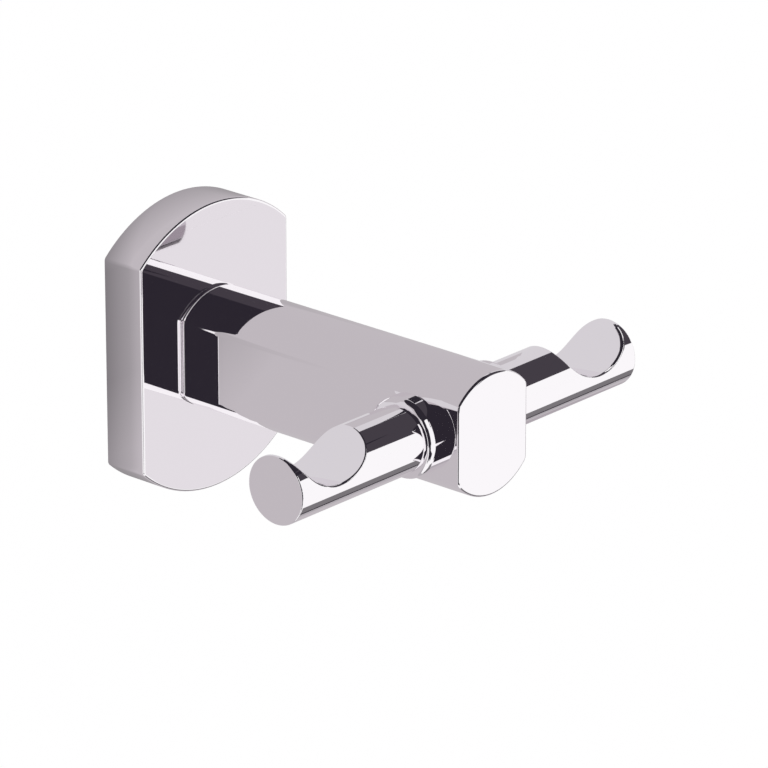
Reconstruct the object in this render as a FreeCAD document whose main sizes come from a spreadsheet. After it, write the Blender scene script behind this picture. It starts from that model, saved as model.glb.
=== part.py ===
import FreeCAD, Part
import math
import os
from types import SimpleNamespace

import Sketcher
from FreeCAD import Vector

doc = FreeCAD.newDocument("RobeHook")

# Driving dimensions, in millimetres. The wall is the plane Y = 0 and the arm stands out towards -Y.
sheet = doc.addObject("Spreadsheet::Sheet", "Dimensions")
values = {
    # wall flange: upright sides, arched top and bottom, open at the back
    "flangeWidth": 37.0,
    "flangeHeight": 52.5,
    "flangeDepth": 8.5,
    "flangeArch": 26.8,
    "flangeCorner": 1.0,
    "flangeWall": 2.2,
    "flangeFace": 2.4,
    "flangeEdge": 0.45,
    # arm: the flange's outline at a smaller size
    "armWidth": 17.5,
    "armHeight": 21.9,
    "armLength": 63.3,
    "armArch": 11.5,
    "armCorner": 1.8,
    "armEdge": 0.6,
    "armRootEdge": 0.8,
    "spigotDiameter": 12.0,
    "spigotFlats": 10.0,
    # pegs, each turned in one with its collar
    "pegDiameter": 12.0,
    "pegSpan": 85.3,
    "pegSetback": 10.3,
    "pegEdge": 0.25,
    "collarDiameter": 14.3,
    "collarThickness": 3.45,
    "collarEdge": 1.1,
    "notchRadius": 9.05,
    "notchSetback": 9.5,
    "notchRise": 8.95,
    "notchEdge": 0.2,
    "notchTipEdge": 0.75,
    # fixings inside
    "studDiameter": 6.0,
    "studGrip": 9.0,
    "armScrewDiameter": 6.0,
    "armScrewLength": 12.0,
    "armScrewHead": 10.5,
    "armScrewHeadHeight": 2.6,
    "armScrewSocket": 4.0,
    "washerDiameter": 18.0,
    "washerThickness": 1.4,
    "setScrewDiameter": 4.0,
    "setScrewLength": 6.0,
    "setScrewSocket": 2.0,
    "threadEdge": 0.4,
    # wall bracket: a folded plate whose two lips carry the flange
    "bracketWidth": 22.0,
    "bracketClearance": 3.85,
    "bracketDepth": 5.6,
    "bracketThickness": 1.6,
    "bracketBend": 0.8,
    "lugWidth": 10.0,
    "lugDepth": 4.8,
    "wallHoleInset": 6.2,
    "wallHoleDiameter": 4.5,
}
for row, (alias, value) in enumerate(values.items(), start=1):
    sheet.set("A%d" % row, alias)
    sheet.set("B%d" % row, str(value))
    sheet.setAlias("B%d" % row, alias)
doc.recompute()


class Size:
    """A length and the formula of the sheet that drives it."""

    def __init__(self, value, formula):
        self.value = value
        self.formula = formula

    def __float__(self):
        return float(self.value)

    def join(self, sign, other, value):
        text = other.formula if isinstance(other, Size) else str(other)
        return Size(value, "(%s %s %s)" % (self.formula, sign, text))

    def __add__(self, other):
        return self.join("+", other, float(self) + float(other))

    def __sub__(self, other):
        return self.join("-", other, float(self) - float(other))

    def __mul__(self, other):
        return self.join("*", other, float(self) * float(other))

    def __truediv__(self, other):
        return self.join("/", other, float(self) / float(other))


dims = SimpleNamespace(**{alias: Size(value, "Dimensions." + alias) for alias, value in values.items()})
noLength = Size(0.0, "0")

# the bracket ends a clearance short of the flange's inner walls
bracketHeight = dims.flangeHeight - dims.flangeWall * 2 - dims.bracketClearance * 2
wallHoleSpacing = bracketHeight - dims.wallHoleInset * 2

# In a constraint a line or arc has start 1, end 2 and centre 3; -1 is the horizontal axis and -2 the vertical one.
origin = (-1, 1)


def newBody(label):
    body = doc.addObject("PartDesign::Body", label)
    body.Label = label
    return body


def place(body, x=noLength, y=noLength, z=noLength):
    body.setExpression("Placement.Base.x", x.formula)
    body.setExpression("Placement.Base.y", y.formula)
    body.setExpression("Placement.Base.z", z.formula)


def newSketch(body, name, role, offset=noLength):
    """Sketch on one of the body's own planes, moved along the plane's normal."""
    plane = next(item for item in body.Origin.OriginFeatures if item.Role == role)
    sketch = body.newObject("Sketcher::SketchObject", name)
    sketch.AttachmentSupport = [(plane, "")]
    sketch.MapMode = "FlatFace"
    sketch.setExpression("AttachmentOffset.Base.z", offset.formula)
    return sketch


def constrain(sketch, *terms):
    return sketch.addConstraint(Sketcher.Constraint(*terms))


def drive(sketch, name, size, *terms):
    """Constraint whose value follows the sheet."""
    sketch.renameConstraint(constrain(sketch, *terms, float(size)), name)
    sketch.setExpression("Constraints." + name, size.formula)


def addCircle(sketch, name, diameter, x=noLength, y=noLength):
    circle = sketch.addGeometry(Part.Circle(Vector(float(x), float(y), 0), Vector(0, 0, 1), float(diameter) / 2))
    drive(sketch, name + "Diameter", diameter, "Diameter", circle)
    for axis, letter, kind, onAxis in ((x, "X", "DistanceX", -2), (y, "Y", "DistanceY", -1)):
        if axis is noLength:
            constrain(sketch, "PointOnObject", circle, 3, onAxis)
        elif float(axis) < 0:
            drive(sketch, name + letter, noLength - axis, kind, circle, 3, *origin)
        else:
            drive(sketch, name + letter, axis, kind, *origin, circle, 3)
    return circle


def addOutline(sketch, points):
    """Closed run of lines whose corners are driven one by one; each point is (x, y)."""
    corners = [Vector(float(x), float(y), 0) for x, y in points]
    count = len(corners)
    lines = [sketch.addGeometry(Part.LineSegment(corners[i], corners[(i + 1) % count])) for i in range(count)]
    for i in range(count):
        constrain(sketch, "Coincident", lines[i], 2, lines[(i + 1) % count], 1)
    for i, (x, y) in enumerate(points):
        for axis, letter, kind, onAxis in ((x, "X", "DistanceX", -2), (y, "Y", "DistanceY", -1)):
            name = "%s%d" % (letter, i)
            if float(axis) == 0:
                constrain(sketch, "PointOnObject", lines[i], 1, onAxis)
            elif float(axis) < 0:
                drive(sketch, name, noLength - axis, kind, lines[i], 1, *origin)
            else:
                drive(sketch, name, axis, kind, *origin, lines[i], 1)


def addHexagon(sketch, acrossFlats):
    radius = float(acrossFlats) / math.sqrt(3)
    corners = [Vector(radius * math.cos(math.pi / 3 * i), radius * math.sin(math.pi / 3 * i), 0) for i in range(6)]
    lines = [sketch.addGeometry(Part.LineSegment(corners[i], corners[(i + 1) % 6])) for i in range(6)]
    rim = sketch.addGeometry(Part.Circle(Vector(), Vector(0, 0, 1), radius), True)
    constrain(sketch, "Coincident", rim, 3, *origin)
    for i in range(6):
        constrain(sketch, "Coincident", lines[i], 2, lines[(i + 1) % 6], 1)
        constrain(sketch, "PointOnObject", lines[i], 1, rim)
    for line in lines[1:]:
        constrain(sketch, "Equal", lines[0], line)
    constrain(sketch, "PointOnObject", lines[0], 1, -1)
    drive(sketch, "acrossCorners", acrossFlats * 1.1547, "Diameter", rim)


def addArchedSlab(sketch, width, height, arch, corner):
    """Upright sides, arched top and bottom, small round corners where they meet."""
    half, top = float(width) / 2, float(height) / 2
    radius, round_ = float(arch), float(corner)
    archZ = top - radius
    cornerX = half - round_
    cornerZ = archZ + math.sqrt((radius - round_) ** 2 - cornerX ** 2)
    lean = math.atan2(cornerZ - archZ, cornerX)

    def arc(x, z, size, start, end):
        circle = Part.Circle(Vector(x, z, 0), Vector(0, 0, 1), size)
        return sketch.addGeometry(Part.ArcOfCircle(circle, start, end))

    def side(x, z):
        return sketch.addGeometry(Part.LineSegment(Vector(x, -z, 0), Vector(x, z, 0)))

    right = side(half, cornerZ)
    topRight = arc(cornerX, cornerZ, round_, 0, lean)
    upper = arc(0, archZ, radius, lean, math.pi - lean)
    topLeft = arc(-cornerX, cornerZ, round_, math.pi - lean, math.pi)
    left = side(-half, -cornerZ)
    bottomLeft = arc(-cornerX, -cornerZ, round_, math.pi, math.pi + lean)
    lower = arc(0, -archZ, radius, math.pi + lean, 2 * math.pi - lean)
    bottomRight = arc(cornerX, -cornerZ, round_, 2 * math.pi - lean, 2 * math.pi)
    loop = [right, topRight, upper, topLeft, left, bottomLeft, lower, bottomRight]
    for current, following in zip(loop, loop[1:] + loop[:1]):
        constrain(sketch, "Tangent", current, 2, following, 1)
    for line in (right, left):
        constrain(sketch, "Vertical", line)
    for piece in (topLeft, bottomLeft, bottomRight):
        constrain(sketch, "Equal", topRight, piece)
    constrain(sketch, "Equal", upper, lower)
    for piece in (upper, lower):
        constrain(sketch, "PointOnObject", piece, 3, -2)
    drive(sketch, "cornerRadius", corner, "Radius", topRight)
    drive(sketch, "archRadius", arch, "Radius", upper)
    drive(sketch, "rightSide", width / 2, "DistanceX", *origin, right, 1)
    drive(sketch, "leftSide", width / 2, "DistanceX", left, 1, *origin)
    drive(sketch, "upperDrop", arch - height / 2, "DistanceY", upper, 3, *origin)
    drive(sketch, "lowerDrop", arch - height / 2, "DistanceY", *origin, lower, 3)


def addFlattedRound(sketch, diameter, flats):
    """Round with two upright flats, which keeps the arm from turning in the flange."""
    radius, half = float(diameter) / 2, float(flats) / 2
    lean = math.acos(half / radius)
    z = radius * math.sin(lean)

    def arc(start, end):
        return sketch.addGeometry(Part.ArcOfCircle(Part.Circle(Vector(), Vector(0, 0, 1), radius), start, end))

    right = sketch.addGeometry(Part.LineSegment(Vector(half, -z, 0), Vector(half, z, 0)))
    upper = arc(lean, math.pi - lean)
    left = sketch.addGeometry(Part.LineSegment(Vector(-half, z, 0), Vector(-half, -z, 0)))
    lower = arc(math.pi + lean, 2 * math.pi - lean)
    loop = [right, upper, left, lower]
    for current, following in zip(loop, loop[1:] + loop[:1]):
        constrain(sketch, "Coincident", current, 2, following, 1)
    for line in (right, left):
        constrain(sketch, "Vertical", line)
    for piece in (upper, lower):
        constrain(sketch, "Coincident", piece, 3, *origin)
    constrain(sketch, "Equal", upper, lower)
    drive(sketch, "diameter", diameter, "Diameter", upper)
    drive(sketch, "rightFlat", flats / 2, "DistanceX", *origin, right, 1)
    drive(sketch, "leftFlat", flats / 2, "DistanceX", left, 1, *origin)


def extrude(body, kind, name, sketch, length=None, backwards=False, bothWays=False):
    """Pad or Pocket of a sketch; without a length it goes through everything."""
    feature = body.newObject("PartDesign::" + kind, name)
    feature.Profile = sketch
    feature.Reversed = backwards
    feature.Midplane = bothWays
    if length is None:
        feature.Type = "ThroughAll"
    else:
        feature.setExpression("Length", length.formula)
    doc.recompute()
    return feature


def revolve(body, name, sketch, axis):
    feature = body.newObject("PartDesign::Revolution", name)
    feature.Profile = sketch
    feature.ReferenceAxis = (sketch, [axis])
    feature.Angle = 360
    doc.recompute()
    return feature


def soften(body, kind, name, base, size, chosen):
    """Fillet or Chamfer on every edge all of whose points pass the test."""
    names = []
    for index, edge in enumerate(base.Shape.Edges, start=1):
        points = edge.discretize(5)
        if all(chosen(point) for point in points):
            names.append("Edge%d" % index)
    feature = body.newObject("PartDesign::" + kind, name)
    feature.Base = (base, names)
    feature.setExpression("Radius" if kind == "Fillet" else "Size", size.formula)
    doc.recompute()
    return feature


def near(value, target):
    return abs(value - float(target)) < 0.01


def makeFlange():
    body = newBody("flange")
    outline = newSketch(body, "FlangeOutline", "XZ_Plane")
    addArchedSlab(outline, dims.flangeWidth, dims.flangeHeight, dims.flangeArch, dims.flangeCorner)
    slab = extrude(body, "Pad", "FlangeSlab", outline, dims.flangeDepth)
    soften(body, "Fillet", "FlangeEdge", slab, dims.flangeEdge, lambda p: near(-p.y, dims.flangeDepth))

    hollow = newSketch(body, "HollowOutline", "XZ_Plane")
    wall = dims.flangeWall
    addArchedSlab(hollow, dims.flangeWidth - wall * 2, dims.flangeHeight - wall * 2, dims.flangeArch - wall,
                  dims.flangeCorner)
    hollowDepth = dims.flangeDepth - dims.flangeFace
    extrude(body, "Pocket", "Hollow", hollow, hollowDepth, backwards=True)

    # the upper lug hangs on the bracket's upper lip, the lower one takes the set screw
    half = dims.lugWidth / 2
    root = dims.flangeHeight / 2 - wall / 2
    rest = bracketHeight / 2
    upperLug = newSketch(body, "UpperLugOutline", "XZ_Plane", hollowDepth)
    addOutline(upperLug, [(noLength - half, rest), (half, rest), (half, root), (noLength - half, root)])
    extrude(body, "Pad", "UpperLug", upperLug, dims.lugDepth, backwards=True)
    lowerLug = newSketch(body, "LowerLugOutline", "XZ_Plane", hollowDepth)
    top = noLength - (rest + 1)
    bottom = noLength - root
    addOutline(lowerLug, [(noLength - half, bottom), (half, bottom), (half, top), (noLength - half, top)])
    extrude(body, "Pad", "LowerLug", lowerLug, dims.lugDepth, backwards=True)

    tapped = newSketch(body, "SetScrewHole", "XY_Plane")
    addCircle(tapped, "hole", dims.setScrewDiameter, y=noLength - (hollowDepth - dims.lugDepth / 2))
    extrude(body, "Pocket", "SetScrewBore", tapped)

    socket = newSketch(body, "SpigotSocket", "XZ_Plane")
    addFlattedRound(socket, dims.spigotDiameter, dims.spigotFlats)
    extrude(body, "Pocket", "SpigotHole", socket, backwards=True)
    return body


def makeArm():
    body = newBody("arm")
    outline = newSketch(body, "ArmOutline", "XZ_Plane", dims.flangeDepth)
    addArchedSlab(outline, dims.armWidth, dims.armHeight, dims.armArch, dims.armCorner)
    bar = extrude(body, "Pad", "ArmBar", outline, dims.armLength)
    reach = dims.flangeDepth + dims.armLength
    front = soften(body, "Fillet", "ArmEdge", bar, dims.armEdge, lambda p: near(-p.y, reach))
    soften(body, "Fillet", "ArmRootEdge", front, dims.armRootEdge, lambda p: near(-p.y, dims.flangeDepth))

    # a tenth short of the flange's face, so that the washer pulls the arm up tight
    short = dims.flangeFace - 0.1
    spigot = newSketch(body, "SpigotOutline", "XZ_Plane", dims.flangeDepth - short)
    addFlattedRound(spigot, dims.spigotDiameter, dims.spigotFlats)
    extrude(body, "Pad", "Spigot", spigot, short)

    tapped = newSketch(body, "ArmScrewHole", "XZ_Plane")
    addCircle(tapped, "hole", dims.armScrewDiameter)
    extrude(body, "Pocket", "ArmScrewBore", tapped, dims.flangeDepth + dims.armScrewLength, backwards=True)

    cross = newSketch(body, "StudHole", "YZ_Plane")
    addCircle(cross, "hole", dims.studDiameter, x=noLength - (reach - dims.pegSetback))
    extrude(body, "Pocket", "StudBore", cross, bothWays=True)
    return body


def makePeg(label):
    """Turned bar along its own +X, starting at the arm's side."""
    body = newBody(label + "_bar")
    reach = dims.pegSpan / 2 - dims.armWidth / 2
    collar = dims.collarDiameter / 2
    bar = dims.pegDiameter / 2
    profile = newSketch(body, label + "Profile", "XZ_Plane")
    addOutline(profile, [(noLength, noLength), (reach, noLength), (reach, bar), (dims.collarThickness, bar),
                         (dims.collarThickness, collar), (noLength, collar)])
    turned = revolve(body, label + "Bar", profile, "H_Axis")
    rim = soften(body, "Fillet", label + "CollarEdge", turned, dims.collarEdge,
                 lambda p: near(p.x, dims.collarThickness) and near(math.hypot(p.y, p.z), collar))
    soften(body, "Fillet", label + "EndEdge", rim, dims.pegEdge,
           lambda p: near(p.x, reach) and near(math.hypot(p.y, p.z), bar))

    tapped = newSketch(body, label + "StudHole", "YZ_Plane")
    addCircle(tapped, "hole", dims.studDiameter)
    extrude(body, "Pocket", label + "StudBore", tapped, dims.studGrip + 1, backwards=True)

    notch = newSketch(body, label + "NotchOutline", "XZ_Plane")
    middle = reach - dims.notchSetback
    addCircle(notch, "notch", dims.notchRadius * 2, x=middle, y=dims.notchRise)
    extrude(body, "Pocket", label + "Notch", notch, bothWays=True)
    return easeNotch(label, body, middle)


def easeNotch(label, bar, middle):
    """Rounds the notch's two edges, more at the peg's tip than at the shoulder."""
    def onNotch(point):
        return near(math.hypot(point.x - float(middle), point.z - float(dims.notchRise)), dims.notchRadius)

    def radiusAt(vertex):
        return float(dims.notchTipEdge if vertex.X > float(middle) else dims.notchEdge)

    rounded = doc.addObject("Part::Fillet", label)
    rounded.Label = label
    rounded.Base = bar
    rounded.Edges = [(index, radiusAt(edge.Vertexes[0]), radiusAt(edge.Vertexes[-1]))
                     for index, edge in enumerate(bar.Shape.Edges, start=1)
                     if all(onNotch(point) for point in edge.discretize(5))]
    doc.recompute()
    return rounded


def makeCrossStud():
    body = newBody("cross_stud")
    outline = newSketch(body, "StudOutline", "YZ_Plane")
    addCircle(outline, "stud", dims.studDiameter)
    length = dims.armWidth + dims.studGrip * 2
    rod = extrude(body, "Pad", "StudRod", outline, length, bothWays=True)
    soften(body, "Chamfer", "StudEnds", rod, dims.threadEdge, lambda p: near(abs(p.x), length / 2))
    return body


def makeArmScrew():
    """Button-headed screw whose head rests at Y = 0 of its own frame."""
    body = newBody("arm_screw")
    shank = dims.armScrewDiameter / 2
    head = dims.armScrewHead / 2
    profile = newSketch(body, "ArmScrewProfile", "XY_Plane")
    addOutline(profile, [(noLength, noLength - dims.armScrewLength), (shank, noLength - dims.armScrewLength),
                         (shank, noLength), (head, noLength), (head, dims.armScrewHeadHeight),
                         (noLength, dims.armScrewHeadHeight)])
    turned = revolve(body, "ArmScrewBody", profile, "V_Axis")
    domed = soften(body, "Fillet", "ArmScrewDome", turned, dims.armScrewHeadHeight * 0.7,
                   lambda p: near(p.y, dims.armScrewHeadHeight))
    soften(body, "Chamfer", "ArmScrewTip", domed, dims.threadEdge, lambda p: near(-p.y, dims.armScrewLength))
    socket = newSketch(body, "ArmScrewSocket", "XZ_Plane", noLength - dims.armScrewHeadHeight)
    addHexagon(socket, dims.armScrewSocket)
    extrude(body, "Pocket", "ArmScrewHex", socket, dims.armScrewHeadHeight * 0.65, backwards=True)
    return body


def makeArmWasher():
    body = newBody("arm_washer")
    outline = newSketch(body, "WasherOutline", "XZ_Plane")
    addCircle(outline, "rim", dims.washerDiameter)
    addCircle(outline, "hole", dims.armScrewDiameter)
    extrude(body, "Pad", "Washer", outline, dims.washerThickness)
    return body


def makeSetScrew():
    body = newBody("set_screw")
    outline = newSketch(body, "SetScrewOutline", "XY_Plane")
    addCircle(outline, "thread", dims.setScrewDiameter)
    rod = extrude(body, "Pad", "SetScrewRod", outline, dims.setScrewLength)
    soften(body, "Chamfer", "SetScrewTip", rod, dims.threadEdge, lambda p: near(p.z, dims.setScrewLength))
    socket = newSketch(body, "SetScrewSocket", "XY_Plane")
    addHexagon(socket, dims.setScrewSocket)
    extrude(body, "Pocket", "SetScrewHex", socket, dims.setScrewLength * 0.4, backwards=True)
    return body


def makeWallBracket():
    body = newBody("wall_bracket")
    high = bracketHeight / 2
    low = noLength - high
    thick = dims.bracketThickness
    front = noLength - thick
    lip = noLength - dims.bracketDepth
    profile = newSketch(body, "BracketProfile", "YZ_Plane")
    addOutline(profile, [(noLength, low), (lip, low), (lip, low + thick), (front, low + thick),
                         (front, high - thick), (lip, high - thick), (lip, high), (noLength, high)])
    folded = extrude(body, "Pad", "BracketPlate", profile, dims.bracketWidth, bothWays=True)
    outer = soften(body, "Fillet", "OuterBends", folded, dims.bracketBend + thick,
                   lambda p: near(p.y, 0) and near(abs(p.z), high))
    soften(body, "Fillet", "InnerBends", outer, dims.bracketBend,
           lambda p: near(p.y, front) and near(abs(p.z), high - thick))
    holes = newSketch(body, "WallHoles", "XZ_Plane")
    addCircle(holes, "upper", dims.wallHoleDiameter, y=wallHoleSpacing / 2)
    addCircle(holes, "lower", dims.wallHoleDiameter, y=noLength - wallHoleSpacing / 2)
    extrude(body, "Pocket", "WallHoleBores", holes, backwards=True)
    return body


flange = makeFlange()
arm = makeArm()

pegY = noLength - (dims.flangeDepth + dims.armLength - dims.pegSetback)
rightPeg = makePeg("right_peg")
place(rightPeg, x=dims.armWidth / 2, y=pegY)
leftPeg = makePeg("left_peg")
leftPeg.Placement.Rotation = FreeCAD.Rotation(Vector(0, 0, 1), 180)
place(leftPeg, x=noLength - dims.armWidth / 2, y=pegY)

crossStud = makeCrossStud()
place(crossStud, y=pegY)

hollowDepth = dims.flangeDepth - dims.flangeFace
armScrew = makeArmScrew()
place(armScrew, y=noLength - (hollowDepth - dims.washerThickness))
armWasher = makeArmWasher()
place(armWasher, y=noLength - (hollowDepth - dims.washerThickness))

setScrew = makeSetScrew()
place(setScrew, y=noLength - (hollowDepth - dims.lugDepth / 2),
      z=noLength - (bracketHeight / 2 + dims.setScrewLength))
wallBracket = makeWallBracket()

doc.recompute()
bodies = [flange, arm, rightPeg, leftPeg, crossStud, armScrew, armWasher, setScrew, wallBracket]
for item in doc.Objects:
    if "Invalid" in item.State or "Error" in item.State:
        raise RuntimeError("%s did not build: %s" % (item.Label, item.State))
for body in bodies:
    if body.Shape.isNull() or not body.Shape.isValid():
        raise RuntimeError("%s has no sound shape" % body.Label)

os.makedirs("parts", exist_ok=True)
for body in bodies:
    body.Shape.exportStep("parts/%s.step" % body.Label)
    box = body.Shape.BoundBox
    print("%-13s %8.1f mm3   X %6.1f %6.1f   Y %6.1f %6.1f   Z %6.1f %6.1f" % (
        body.Label, body.Shape.Volume, box.XMin, box.XMax, box.YMin, box.YMax, box.ZMin, box.ZMax))
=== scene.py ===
import bpy
import math
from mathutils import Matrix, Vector


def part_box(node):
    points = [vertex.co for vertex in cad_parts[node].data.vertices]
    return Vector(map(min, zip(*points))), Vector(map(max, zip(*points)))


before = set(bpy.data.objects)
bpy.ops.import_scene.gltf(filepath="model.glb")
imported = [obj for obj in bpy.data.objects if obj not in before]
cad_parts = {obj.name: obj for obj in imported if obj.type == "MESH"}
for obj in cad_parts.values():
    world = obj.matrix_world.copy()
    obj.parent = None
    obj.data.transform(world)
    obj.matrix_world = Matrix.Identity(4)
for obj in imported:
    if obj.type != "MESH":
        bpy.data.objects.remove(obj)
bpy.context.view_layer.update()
scene = bpy.context.scene

print("robe hook: finishes")

# how even a polished surface is: a roughness that drifts and a height for the bump
polishSockets = {"Smooth": 0.02, "Dull": 0.06, "Haze size": 90.0, "Ripple size": 220.0}
polishLook = {"hazeDetail": 3, "hazeLow": 0.35, "hazeHigh": 0.75, "rippleDetail": 1}
polish = bpy.data.node_groups.new("polish", "ShaderNodeTree")
for name, preset in polishSockets.items():
    socket = polish.interface.new_socket(name, in_out="INPUT", socket_type="NodeSocketFloat")
    socket.default_value = preset
for name in ("Roughness", "Ripple"):
    polish.interface.new_socket(name, in_out="OUTPUT", socket_type="NodeSocketFloat")
inside, wires = polish.nodes, polish.links
groupIn = inside.new("NodeGroupInput")
groupOut = inside.new("NodeGroupOutput")
place = inside.new("ShaderNodeTexCoord")
haze = inside.new("ShaderNodeTexNoise")
haze.inputs["Detail"].default_value = polishLook["hazeDetail"]
hazeRange = inside.new("ShaderNodeMapRange")
hazeRange.inputs["From Min"].default_value = polishLook["hazeLow"]
hazeRange.inputs["From Max"].default_value = polishLook["hazeHigh"]
ripple = inside.new("ShaderNodeTexNoise")
ripple.inputs["Detail"].default_value = polishLook["rippleDetail"]
wires.new(place.outputs["Object"], haze.inputs["Vector"])
wires.new(place.outputs["Object"], ripple.inputs["Vector"])
wires.new(groupIn.outputs["Haze size"], haze.inputs["Scale"])
wires.new(groupIn.outputs["Ripple size"], ripple.inputs["Scale"])
wires.new(haze.outputs["Fac"], hazeRange.inputs["Value"])
wires.new(groupIn.outputs["Smooth"], hazeRange.inputs["To Min"])
wires.new(groupIn.outputs["Dull"], hazeRange.inputs["To Max"])
wires.new(hazeRange.outputs["Result"], groupOut.inputs["Roughness"])
wires.new(ripple.outputs["Fac"], groupOut.inputs["Ripple"])


def makeMetal(name, finish):
    material = bpy.data.materials.new(name)
    material.use_nodes = True
    nodes, links = material.node_tree.nodes, material.node_tree.links
    metal = nodes["Principled BSDF"]
    metal.inputs["Base Color"].default_value = (*finish["colour"], 1)
    metal.inputs["Metallic"].default_value = finish["metallic"]
    surface = nodes.new("ShaderNodeGroup")
    surface.node_tree = polish
    for socket in polishSockets:
        surface.inputs[socket].default_value = finish[socket]
    bump = nodes.new("ShaderNodeBump")
    bump.inputs["Strength"].default_value = finish["ripple"]
    bump.inputs["Distance"].default_value = finish["rippleDepth"]
    links.new(surface.outputs["Roughness"], metal.inputs["Roughness"])
    links.new(surface.outputs["Ripple"], bump.inputs["Height"])
    links.new(bump.outputs["Normal"], metal.inputs["Normal"])
    return material


chrome = {"colour": (0.955, 0.93, 0.955), "metallic": 1, "Smooth": 0.012, "Dull": 0.035,
          "Haze size": 90, "Ripple size": 60, "ripple": 0.03, "rippleDepth": 0.0002}
zinc = {"colour": (0.62, 0.62, 0.64), "metallic": 1, "Smooth": 0.22, "Dull": 0.4,
        "Haze size": 300, "Ripple size": 1500, "ripple": 0.2, "rippleDepth": 0.0002}
blackOxide = {"colour": (0.025, 0.025, 0.028), "metallic": 0.6, "Smooth": 0.35, "Dull": 0.5,
              "Haze size": 300, "Ripple size": 1500, "ripple": 0.2, "rippleDepth": 0.0002}
finishes = {
    makeMetal("polished_chrome", chrome): ("flange", "arm", "left_peg", "right_peg"),
    makeMetal("plated_steel", zinc): ("cross_stud", "arm_screw", "arm_washer", "wall_bracket"),
    makeMetal("black_steel", blackOxide): ("set_screw",),
}
for material, wearers in finishes.items():
    for node in wearers:
        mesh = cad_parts[node].data
        mesh.materials.clear()
        mesh.materials.append(material)

print("robe hook: studio")

tones = {
    "wall": (1, 0.942, 0.986),
    "light": (0.69, 0.67, 0.695),
    "mid": (0.45, 0.43, 0.45),
    "low": (0.2, 0.19, 0.2),
    # nearly black, for cards that paint dark reflections
    "nearBlack": (0.058, 0.05, 0.062),
    "dark": (0.026, 0.022, 0.031),
}


def makePlain(name, shaderType, colour):
    # material of one shader
    material = bpy.data.materials.new(name)
    material.use_nodes = True
    nodes, links = material.node_tree.nodes, material.node_tree.links
    nodes.clear()
    shader = nodes.new(shaderType)
    shader.inputs["Color"].default_value = (*colour, 1)
    links.new(shader.outputs[0], nodes.new("ShaderNodeOutputMaterial").inputs["Surface"])
    return material, shader


def makeGlow(name, tone):
    return makePlain(name, "ShaderNodeEmission", tones[tone])


def compute(tree, operation, *terms):
    # math node; a term is a socket or a number
    node = tree.nodes.new("ShaderNodeMath")
    node.operation = operation
    for slot, term in zip(node.inputs, terms):
        if isinstance(term, bpy.types.NodeSocket):
            tree.links.new(term, slot)
        else:
            slot.default_value = term
    return node.outputs[0]


def isLookedAt(tree):
    # 1 for what the camera, a mirror or glass looks at, 0 for the light that falls on things
    path = tree.nodes.new("ShaderNodeLightPath")
    seen = compute(tree, "ADD", path.outputs["Is Camera Ray"], path.outputs["Is Glossy Ray"])
    return compute(tree, "ADD", seen, path.outputs["Is Transmission Ray"])


def joinShaders(tree, share, first, second):
    # the surface is the first shader where the share is 0 and the second where it is 1
    mix = tree.nodes.new("ShaderNodeMixShader")
    tree.links.new(share, mix.inputs["Fac"])
    tree.links.new(first.outputs[0], mix.inputs[1])
    tree.links.new(second.outputs[0], mix.inputs[2])
    tree.links.new(mix.outputs["Shader"], tree.nodes["Material Output"].inputs["Surface"])


def addCard(name, low, high, material=None, tone="light"):
    # two corners in millimetres; the card is flat along the axis on which they agree
    low, high = Vector(low) / 1000, Vector(high) / 1000
    size = high - low
    turns = {0: (0, math.pi / 2, 0), 1: (math.pi / 2, 0, 0), 2: (0, 0, 0)}
    flat = min(range(3), key=lambda axis: size[axis])
    bpy.ops.mesh.primitive_plane_add(size=1, location=(low + high) / 2, rotation=turns[flat])
    card = bpy.context.active_object
    card.name = name
    bpy.ops.object.transform_apply(location=False, rotation=True, scale=False)
    card.scale = [1 if axis == flat else size[axis] for axis in range(3)]
    bpy.ops.object.transform_apply(location=True, rotation=False, scale=True)
    card.data.materials.append(material or makeGlow(name, tone)[0])
    card.visible_camera = False
    card.visible_diffuse = False
    card.visible_shadow = False
    return card


# the wall behind the hook, a sheet that glows and that only mirrors and glass see: open where the
# flange stands, with painted contact shade that darkens it close round the flange and painted light
# that brightens it lower down and higher up; shades are levels at distances in millimetres from the
# flange, and a gain grows to its level between two heights in metres
wall = {
    "corners": ((-3000, 0.5, -3000), (3000, 0.5, 3000)),
    "arch": 0.0268,
    "paintedShades": {0: 0.215, 3.6: 0.3, 6.3: 0.355, 8.3: 0.435, 11: 0.455, 16: 0.468, 25: 0.5, 34: 0.518,
               46: 0.54},
    "paintedLightGains": ((-0.004, -0.018, 0.08), (0.016, 0.027, 0.17)),
    "brightest": 0.542,
}


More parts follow.
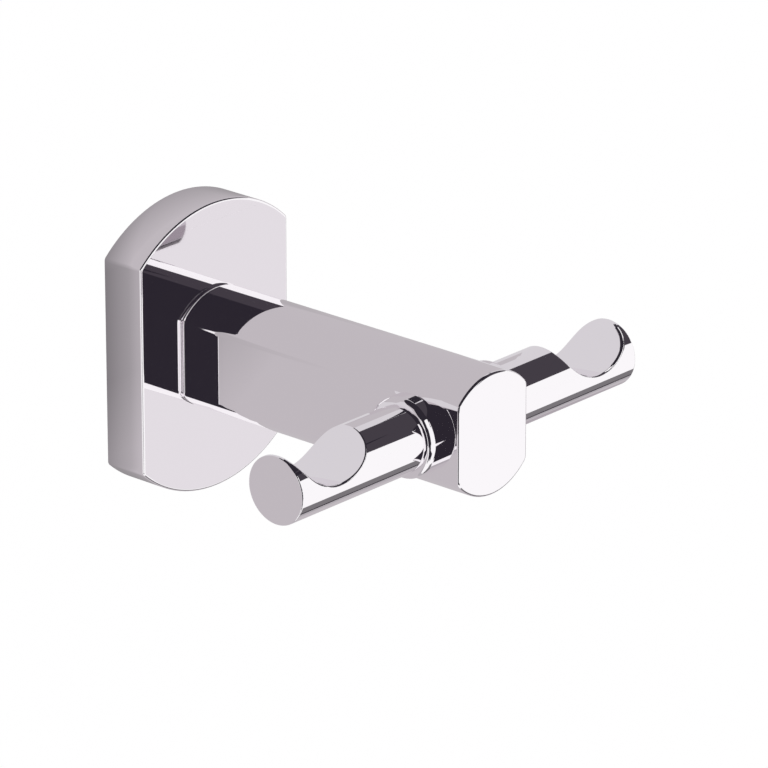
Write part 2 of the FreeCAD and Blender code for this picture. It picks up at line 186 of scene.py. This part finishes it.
def makeWallGlowWithPaintedShade():
    material, glow = makeGlow("wall", "wall")
    tree = material.node_tree
    where = tree.nodes.new("ShaderNodeSeparateXYZ")
    tree.links.new(tree.nodes.new("ShaderNodeTexCoord").outputs["Object"], where.inputs[0])

    # distance from the flange's outline: its upright sides and its arched ends
    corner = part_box("flange")[1]
    beside = compute(tree, "SUBTRACT", compute(tree, "ABSOLUTE", where.outputs["X"]), corner.x)
    rise = compute(tree, "ABSOLUTE", where.outputs["Z"])
    rise = compute(tree, "ADD", rise, wall["arch"] - corner.z)
    acrossSquared = compute(tree, "POWER", where.outputs["X"], 2)
    squares = compute(tree, "ADD", acrossSquared, compute(tree, "POWER", rise, 2))
    above = compute(tree, "SUBTRACT", compute(tree, "SQRT", squares), wall["arch"])
    outside = compute(tree, "MAXIMUM", beside, above)

    reach = max(wall["paintedShades"])
    # painted contact shade: the glow is darkest at the flange's outline and lighter further off
    paintedShadeRamp = tree.nodes.new("ShaderNodeValToRGB")
    tree.links.new(compute(tree, "MULTIPLY", outside, 1000 / reach), paintedShadeRamp.inputs["Fac"])
    while len(paintedShadeRamp.color_ramp.elements) < len(wall["paintedShades"]):
        paintedShadeRamp.color_ramp.elements.new(1)
    for stop, (distance, shade) in zip(paintedShadeRamp.color_ramp.elements, wall["paintedShades"].items()):
        stop.position = distance / reach
        stop.color = (shade, shade, shade, 1)

    level = paintedShadeRamp.outputs["Color"]
    # painted light: the glow gets brighter lower down and higher up
    for start, end, most in wall["paintedLightGains"]:
        gain = tree.nodes.new("ShaderNodeMapRange")
        tree.links.new(where.outputs["Z"], gain.inputs["Value"])
        gain.inputs["From Min"].default_value = start
        gain.inputs["From Max"].default_value = end
        gain.inputs["To Max"].default_value = most
        level = compute(tree, "ADD", level, gain.outputs["Result"])
    tree.links.new(compute(tree, "MINIMUM", level, wall["brightest"]), glow.inputs["Strength"])

    opening = tree.nodes.new("ShaderNodeBsdfTransparent")
    joinShaders(tree, compute(tree, "GREATER_THAN", outside, 0), opening, glow)
    return material


addCard("wall", *wall["corners"], makeWallGlowWithPaintedShade())

# each card: two corners in millimetres and its tone; the cards glow and only mirrors and glass see
# them, so the light ones are painted light reflections and the dark ones painted dark reflections
cards = {
    "wallLight": ((62, 0.2, 80), (3000, 0.2, 228), "light"),
    "wallLightLow": ((83, 0.2, 58), (3000, 0.2, 80), "light"),
    "wallHigh": ((62, 0.2, 228), (3000, 0.2, 900), "nearBlack"),
    # painted shade: a mid-grey strip on the floor where it meets the wall
    "wallFootPaintedShade": ((-3000, -61, -355), (3000, 0, -355), "mid"),
    "lowLine": ((20, -250, -354), (3000, -100, -354), "low"),
    "lowLineDark": ((20, -100, -354), (3000, -62, -354), "nearBlack"),
    "topFlag": ((-110, -125, 100), (60, -10, 100), "dark"),
    "topFrontFlag": ((-110, -150, 100), (90, -125, 100), "dark"),
    "topSideFlag": ((-200, -175, 100), (-110, -60, 100), "dark"),
    "farTop": ((395, -1180, 600), (1500, 240, 600), "nearBlack"),
    "sideFlag": ((-640, -740, 190), (-640, 290, 800), "dark"),
    "rootFlag": ((-184, -196, -112), (-184, -150, 114), "dark"),
    "lowFlag": ((-590, -590, -354), (-170, -300, -354), "dark"),
    "edgeFlag": ((-60, -135, -18), (-60, -72, 35), "dark"),
    "edgeFlagLow": ((-60, -117, -60), (-60, -80, -18), "dark"),
    "backLight": ((-1500, 900, -350), (1500, 900, 700), "light"),
    "backStrip": ((-700, 880, -350), (-300, 880, 700), "nearBlack"),
    # painted dark reflection: a dark strip leaned on the wall that the collar's top mirrors as a
    # dark ring
    "collarFlag": ((102, 0.15, -18.5), (300, 0.15, -12.6), "dark"),
}
leans = {"collarFlag": -50.5}  # degrees on the wall, about the middle of the flange
for name, (low, high, tone) in cards.items():
    card = addCard(name, low, high, tone=tone)
    card.rotation_euler.y = math.radians(leans.get(name, 0))

# fills close behind the pegs, glowing cards that only mirrors and glass see and that paint light
# reflections there, clear when met from behind: two corners in millimetres
fills = {
    "fillLeftLow": ((-42.5, -54.5, -1), (-12.5, -54.5, 6.5)),
    "fillLeft": ((-42.5, -54.5, 6.5), (-19.5, -54.5, 20)),
    "fillRightLow": ((12.5, -54.5, -1), (27, -54.5, 7.5)),
    "fillRight": ((27, -54.5, -1), (60, -54.5, 34)),
}
fillMaterial, fillGlow = makeGlow("fill", "light")
fillTree = fillMaterial.node_tree
fromBehind = fillTree.nodes.new("ShaderNodeNewGeometry").outputs["Backfacing"]
joinShaders(fillTree, fromBehind, fillGlow, fillTree.nodes.new("ShaderNodeBsdfTransparent"))
for name, (low, high) in fills.items():
    addCard(name, low, high, fillMaterial)

# scrim that holds back a fifth of the light on the flange's face
scrim = {"corners": ((24, -52, -58), (72, -52, 4)), "colour": (0.8, 0.775, 0.8)}
veil = makePlain("scrim", "ShaderNodeBsdfTransparent", scrim["colour"])[0]
addCard("scrim", *scrim["corners"], veil)

# floor well below the hook: it glows a little in the picture, and the rest of it is lit and takes
# the shadow
floorLook = {"size": 24, "height": -0.36, "colour": (0.97, 0.968, 0.97), "roughness": 0.9,
             "glow": (1, 0.997, 1), "glowShare": 0.6}
bpy.ops.mesh.primitive_plane_add(size=floorLook["size"], location=(0, 0, floorLook["height"]))
floor = bpy.context.active_object
floor.name = "floor"
paper = bpy.data.materials.new("floorPaper")
paper.use_nodes = True
paperTree = paper.node_tree
sheet = paperTree.nodes["Principled BSDF"]
sheet.inputs["Base Color"].default_value = (*floorLook["colour"], 1)
sheet.inputs["Roughness"].default_value = floorLook["roughness"]
sheet.inputs["Specular IOR Level"].default_value = 0  # matt paper, without a highlight
paperGlow = paperTree.nodes.new("ShaderNodeEmission")
paperGlow.inputs["Color"].default_value = (*floorLook["glow"], 1)
glowing = compute(paperTree, "MULTIPLY", isLookedAt(paperTree), floorLook["glowShare"])
joinShaders(paperTree, glowing, sheet, paperGlow)
floor.data.materials.append(paper)

# white surround, a little lower as light than as a picture; the rest comes from one wide soft lamp
lighting = {"surround": 0.75, "lamp": 0.9, "lampAngle": 8, "lampTurn": (-8, -6, 0)}
world = bpy.data.worlds.new("studio")
scene.world = world
world.use_nodes = True
background = world.node_tree.nodes["Background"]
background.inputs["Color"].default_value = (1, 1, 1, 1)
extra = compute(world.node_tree, "MULTIPLY", isLookedAt(world.node_tree), 1 - lighting["surround"])
strength = compute(world.node_tree, "ADD", extra, lighting["surround"])
world.node_tree.links.new(strength, background.inputs["Strength"])
lampTurn = [math.radians(angle) for angle in lighting["lampTurn"]]
bpy.ops.object.light_add(type="SUN", location=(0, 0, 1), rotation=lampTurn)
lamp = bpy.context.active_object
lamp.data.energy = lighting["lamp"]
lamp.data.angle = math.radians(lighting["lampAngle"])
lamp.visible_glossy = False

print("robe hook: camera")
view = {"azimuth": -48.5, "elevation": 21.13, "distance": 1.0453, "lens": 287.26, "sensor": 36,
        "near": 0.05, "target": (0.006045, -0.042039, -0.000406)}
azimuth, elevation = math.radians(view["azimuth"]), math.radians(view["elevation"])
along = math.cos(elevation)
away = Vector((math.sin(azimuth) * along, -math.cos(azimuth) * along, math.sin(elevation)))
bpy.ops.object.camera_add(location=Vector(view["target"]) + away * view["distance"],
                          rotation=away.to_track_quat("Z", "Y").to_euler())
camera = bpy.context.active_object
camera.data.sensor_width = view["sensor"]
camera.data.lens = view["lens"]
camera.data.clip_start = view["near"]
scene.camera = camera
scene.view_settings.view_transform = "Standard"
